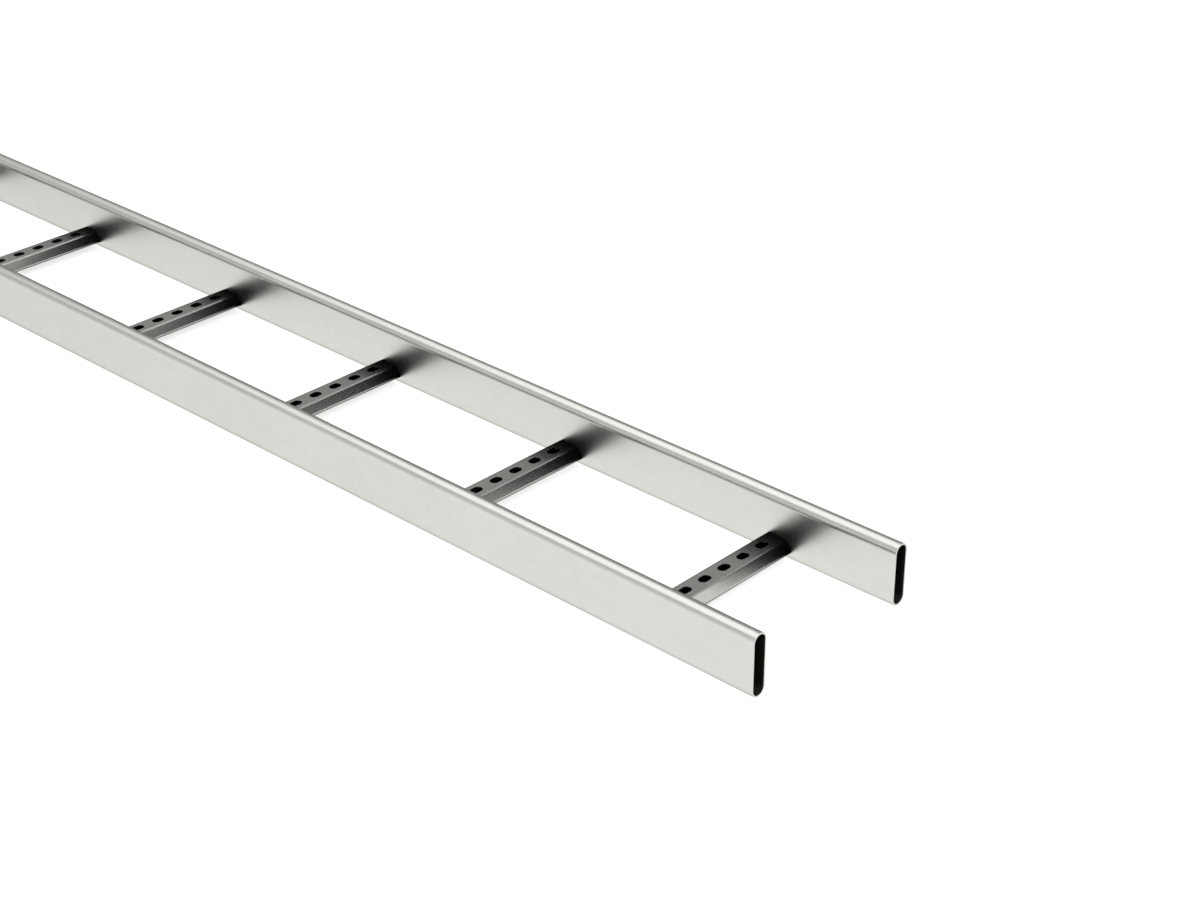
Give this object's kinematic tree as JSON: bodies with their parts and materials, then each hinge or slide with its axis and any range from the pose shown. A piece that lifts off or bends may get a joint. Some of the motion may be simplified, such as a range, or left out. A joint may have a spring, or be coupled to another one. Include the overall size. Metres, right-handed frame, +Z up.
{
  "type": "cable ladder section",
  "caption": "Straight cable ladder section: hollow flat-oval side rails joined by slotted channel rungs, open between the rungs to carry and tie down cables.",
  "frame": {"origin": "middle of the section's length and width, on the level surface that the side rails stand on", "axes": "+X along the ladder, towards the end nearest the picture's camera; +Y across it, towards the far side rail; +Z up"},
  "size_m": [3, 0.2, 0.06],
  "materials": {
    "rail_zinc": "bright hot-dip galvanised steel, smooth",
    "rung_zinc": "duller galvanised steel sheet"
  },
  "bodies": {
    "root": {"side_rail_left": "rail_zinc", "side_rail_right": "rail_zinc", "rung_1": "rung_zinc", "rung_2": "rung_zinc", "rung_3": "rung_zinc", "rung_4": "rung_zinc", "rung_5": "rung_zinc", "rung_6": "rung_zinc", "rung_7": "rung_zinc", "rung_8": "rung_zinc", "rung_9": "rung_zinc", "rung_10": "rung_zinc", "rung_11": "rung_zinc", "rung_12": "rung_zinc"}
  },
  "joints": []
}
